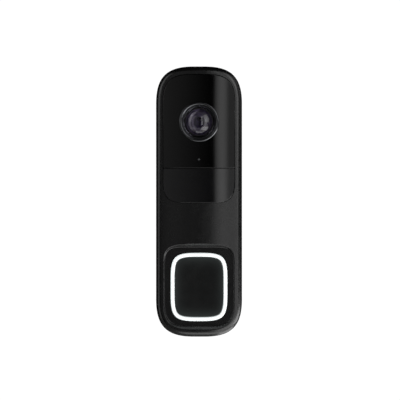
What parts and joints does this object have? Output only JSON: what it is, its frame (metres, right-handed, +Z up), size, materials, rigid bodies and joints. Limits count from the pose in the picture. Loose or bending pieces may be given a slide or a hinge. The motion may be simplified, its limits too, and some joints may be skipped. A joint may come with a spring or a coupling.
{
  "type": "video doorbell",
  "caption": "Slim wired video doorbell on a hooked wall bracket: camera behind a glossy pane, motion window, lit ring round a call button that presses.",
  "frame": {"origin": "centre of the wall bracket's wall side", "axes": "+Z up the wall, +X to the viewer's right, the front faces -Y"},
  "size_m": [0.0442, 0.0285, 0.138],
  "materials": {
    "amber_film": "polyimide film",
    "bezel_black": "polished black",
    "black_optics": "matte black, light-absorbing",
    "black_shell": "fine satin moulded polycarbonate",
    "bracket_black": "fine texture",
    "brass_nickel": "machined brass",
    "cable_grey": "thin cable jacket",
    "cap_black": "satin",
    "chip_black": "moulded package",
    "circuit_green": "solder mask over glass laminate",
    "clear_pipe": "clear acrylic",
    "ferrite": "nickel-plated magnet",
    "foam_tape": "closed-cell adhesive foam",
    "gloss_pane": "polished, printed black behind",
    "lamp_clear": "clear moulded lamp",
    "mesh_cloth": "woven acoustic mesh",
    "motion_pane": "smooth infra-red clear polyethylene",
    "opal_ring": "opal diffusing polycarbonate, lit white",
    "optics": "coated optical glass",
    "paper_cone": "treated paper",
    "pouch_foil": "laminated foil pouch",
    "screw_black": "black-oxide steel",
    "silicone": "soft matte silicone",
    "steel_zinc": "zinc-plated steel",
    "tin_plate": "tin-plated sheet",
    "white_plastic": "moulded"
  },
  "bodies": {
    "bracket": {"wall_bracket": "bracket_black"},
    "doorbell": {"front_housing": "black_shell", "rear_housing": "black_shell", "main_seal": "silicone", "housing_screws": "screw_black", "camera_window": "gloss_pane", "motion_window": "motion_pane", "window_tapes": "foam_tape", "lens_bezel": "bezel_black", "lens_barrel": "black_optics", "front_lens": "optics", "lens_stop": "black_optics", "inner_lens": "optics", "rear_lens": "optics", "lens_holder": "black_optics", "image_sensor": "chip_black", "camera_board": "circuit_green", "ir_board": "circuit_green", "ir_lamps": "lamp_clear", "ir_screws": "steel_zinc", "light_pipe": "clear_pipe", "light_sensor": "chip_black", "motion_sensor": "tin_plate", "button_light_ring": "opal_ring", "button_carrier": "white_plastic", "plunger_seal": "silicone", "button_board": "circuit_green", "ring_lamps": "lamp_clear", "button_switch": "chip_black", "button_screws": "steel_zinc", "microphone": "tin_plate", "microphone_boot": "silicone", "speaker_frame": "chip_black", "speaker_diaphragm": "paper_cone", "speaker_magnet": "ferrite", "speaker_gasket": "foam_tape", "speaker_mesh": "mesh_cloth", "main_board": "circuit_green", "board_screws": "steel_zinc", "shield_can": "tin_plate", "chips": "chip_black", "connectors": "white_plastic", "backup_cell": "pouch_foil", "terminal_block": "chip_black", "terminal_pins": "brass_nickel", "terminal_screws": "brass_nickel", "small_switches": "chip_black", "antenna": "amber_film", "antenna_cable": "cable_grey", "camera_cable": "amber_film", "button_cable": "amber_film"},
    "call_button": {"button_cap": "cap_black"},
    "call_switch_stem": {"switch_stem": "white_plastic"},
    "service_button": {"reset_button": "silicone"},
    "service_switch_stem": {"reset_stem": "white_plastic"},
    "tamper_plunger": {"tamper_plunger": "white_plastic"},
    "tamper_switch_stem": {"tamper_stem": "white_plastic"},
    "security_screw": {"security_screw": "screw_black"}
  },
  "joints": [
    {"name": "doorbell_lift", "type": "slide", "parent": "bracket", "child": "doorbell", "axis": [0, 0, 1], "range_m": [0, 0.006]},
    {"name": "security_screw_out", "type": "slide", "parent": "bracket", "child": "security_screw", "axis": [0, 0, -1], "range_m": [0, 0.008]},
    {"name": "call_button_press", "type": "slide", "parent": "doorbell", "child": "call_button", "axis": [0, 1, 0], "range_m": [0, 0.0004], "stiffness_N_per_m": 3000, "springref_m": -0.0002},
    {"name": "call_switch_stem_press", "type": "slide", "parent": "doorbell", "child": "call_switch_stem", "axis": [0, 1, 0], "range_m": [0, 0.0004]},
    {"name": "service_button_press", "type": "slide", "parent": "doorbell", "child": "service_button", "axis": [0, -1, 0], "range_m": [0, 0.0004], "stiffness_N_per_m": 2500, "springref_m": -0.0002},
    {"name": "service_switch_stem_press", "type": "slide", "parent": "doorbell", "child": "service_switch_stem", "axis": [0, -1, 0], "range_m": [0, 0.0004]},
    {"name": "tamper_plunger_slide", "type": "slide", "parent": "doorbell", "child": "tamper_plunger", "axis": [0, 1, 0], "range_m": [-0.0004, 0], "stiffness_N_per_m": 400, "springref_m": 0.0015},
    {"name": "tamper_switch_stem_slide", "type": "slide", "parent": "doorbell", "child": "tamper_switch_stem", "axis": [0, 1, 0], "range_m": [-0.0004, 0]}
  ],
  "couplings": [
    {"joint": "call_switch_stem_press", "follows": "call_button_press", "ratio": 1},
    {"joint": "service_switch_stem_press", "follows": "service_button_press", "ratio": 1},
    {"joint": "tamper_switch_stem_slide", "follows": "tamper_plunger_slide", "ratio": 1}
  ]
}
